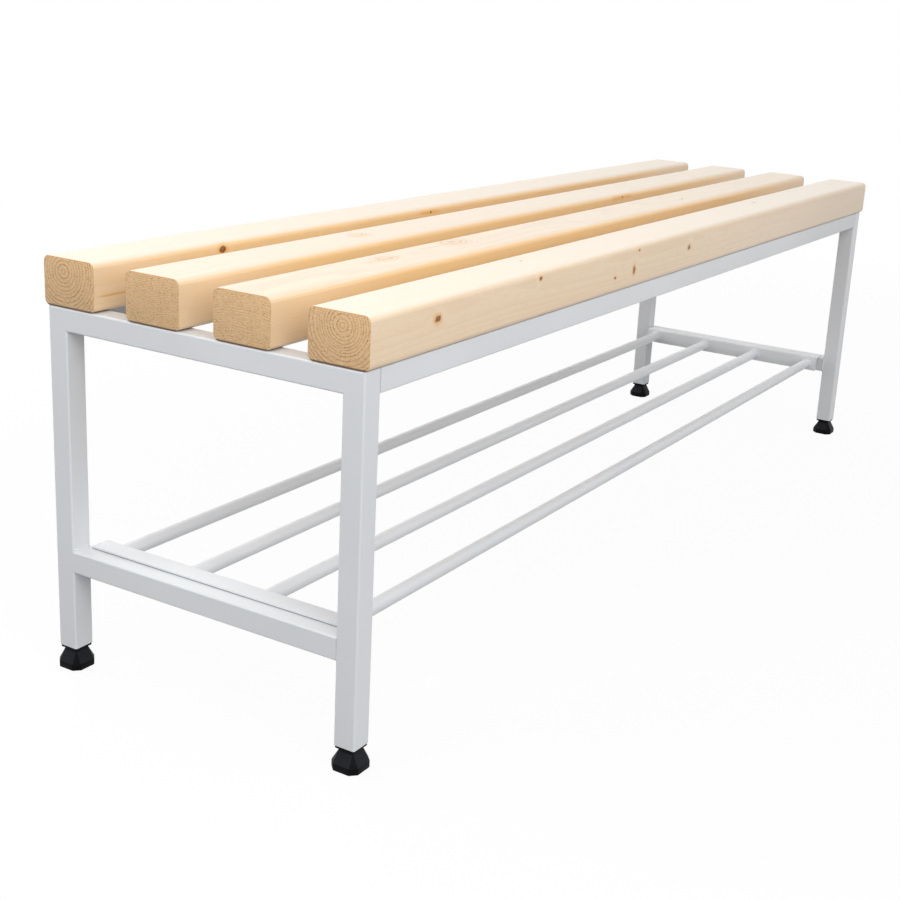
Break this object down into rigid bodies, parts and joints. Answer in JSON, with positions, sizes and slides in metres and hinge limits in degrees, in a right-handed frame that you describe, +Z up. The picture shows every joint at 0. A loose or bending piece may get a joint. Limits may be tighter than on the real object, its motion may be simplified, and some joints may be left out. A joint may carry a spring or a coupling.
{
  "type": "locker room bench",
  "caption": "Free-standing changing room bench: rounded softwood slats on a pale square-tube steel frame, with a tubular shoe rack below and screw-adjustable plastic feet.",
  "frame": {"origin": "on the floor, under the middle of the bench", "axes": "+X along the bench towards the end that is far in the picture, +Y from its front to its rear, +Z up"},
  "size_m": [1.508, 0.409, 0.46],
  "materials": {
    "powder_coat": "light grey powder coat, satin",
    "spruce": "pale softwood, clear matt lacquer",
    "black_plastic": "moulded black plastic",
    "zinc_steel": "zinc plated"
  },
  "bodies": {
    "frame": {"slat_front": "spruce", "rack_tube_front": "powder_coat", "slat_mid_front": "spruce", "rack_tube_mid_front": "powder_coat", "slat_mid_rear": "spruce", "rack_tube_mid_rear": "powder_coat", "slat_rear": "spruce", "rack_tube_rear": "powder_coat", "leg_left_front": "powder_coat", "rail_spigot_left_front": "powder_coat", "leg_plug_left_front": "black_plastic", "plug_nut_left_front": "zinc_steel", "leg_left_rear": "powder_coat", "rail_spigot_left_rear": "powder_coat", "leg_plug_left_rear": "black_plastic", "plug_nut_left_rear": "zinc_steel", "leg_right_front": "powder_coat", "rail_spigot_right_front": "powder_coat", "leg_plug_right_front": "black_plastic", "plug_nut_right_front": "zinc_steel", "leg_right_rear": "powder_coat", "rail_spigot_right_rear": "powder_coat", "leg_plug_right_rear": "black_plastic", "plug_nut_right_rear": "zinc_steel", "top_crossbar_left": "powder_coat", "lower_crossbar_left": "powder_coat", "rack_angle_left": "powder_coat", "slat_screws_left": "zinc_steel", "top_crossbar_right": "powder_coat", "lower_crossbar_right": "powder_coat", "rack_angle_right": "powder_coat", "slat_screws_right": "zinc_steel", "front_rail": "powder_coat", "rear_rail": "powder_coat", "rail_lock_screws": "zinc_steel"},
    "stud_left_front": {"foot_stud_left_front": "zinc_steel"},
    "foot_left_front": {"foot_base_left_front": "black_plastic"},
    "stud_left_rear": {"foot_stud_left_rear": "zinc_steel"},
    "foot_left_rear": {"foot_base_left_rear": "black_plastic"},
    "stud_right_front": {"foot_stud_right_front": "zinc_steel"},
    "foot_right_front": {"foot_base_right_front": "black_plastic"},
    "stud_right_rear": {"foot_stud_right_rear": "zinc_steel"},
    "foot_right_rear": {"foot_base_right_rear": "black_plastic"}
  },
  "joints": [
    {"name": "stud_travel_left_front", "type": "slide", "parent": "frame", "child": "stud_left_front", "axis": [0, 0, -1], "range_m": [0, 0.015]},
    {"name": "foot_turn_left_front", "type": "hinge", "parent": "stud_left_front", "child": "foot_left_front", "pos_m": [-0.7375, -0.1875, 0.011], "axis": [0, 0, -1], "range_deg": [0, 4320]},
    {"name": "stud_travel_left_rear", "type": "slide", "parent": "frame", "child": "stud_left_rear", "axis": [0, 0, -1], "range_m": [0, 0.015]},
    {"name": "foot_turn_left_rear", "type": "hinge", "parent": "stud_left_rear", "child": "foot_left_rear", "pos_m": [-0.7375, 0.1875, 0.011], "axis": [0, 0, -1], "range_deg": [0, 4320]},
    {"name": "stud_travel_right_front", "type": "slide", "parent": "frame", "child": "stud_right_front", "axis": [0, 0, -1], "range_m": [0, 0.015]},
    {"name": "foot_turn_right_front", "type": "hinge", "parent": "stud_right_front", "child": "foot_right_front", "pos_m": [0.7375, -0.1875, 0.011], "axis": [0, 0, -1], "range_deg": [0, 4320]},
    {"name": "stud_travel_right_rear", "type": "slide", "parent": "frame", "child": "stud_right_rear", "axis": [0, 0, -1], "range_m": [0, 0.015]},
    {"name": "foot_turn_right_rear", "type": "hinge", "parent": "stud_right_rear", "child": "foot_right_rear", "pos_m": [0.7375, 0.1875, 0.011], "axis": [0, 0, -1], "range_deg": [0, 4320]}
  ],
  "couplings": [
    {"joint": "stud_travel_left_front", "follows": "foot_turn_left_front", "m_per_rad": 0.00019894},
    {"joint": "stud_travel_left_rear", "follows": "foot_turn_left_rear", "m_per_rad": 0.00019894},
    {"joint": "stud_travel_right_front", "follows": "foot_turn_right_front", "m_per_rad": 0.00019894},
    {"joint": "stud_travel_right_rear", "follows": "foot_turn_right_rear", "m_per_rad": 0.00019894}
  ]
}
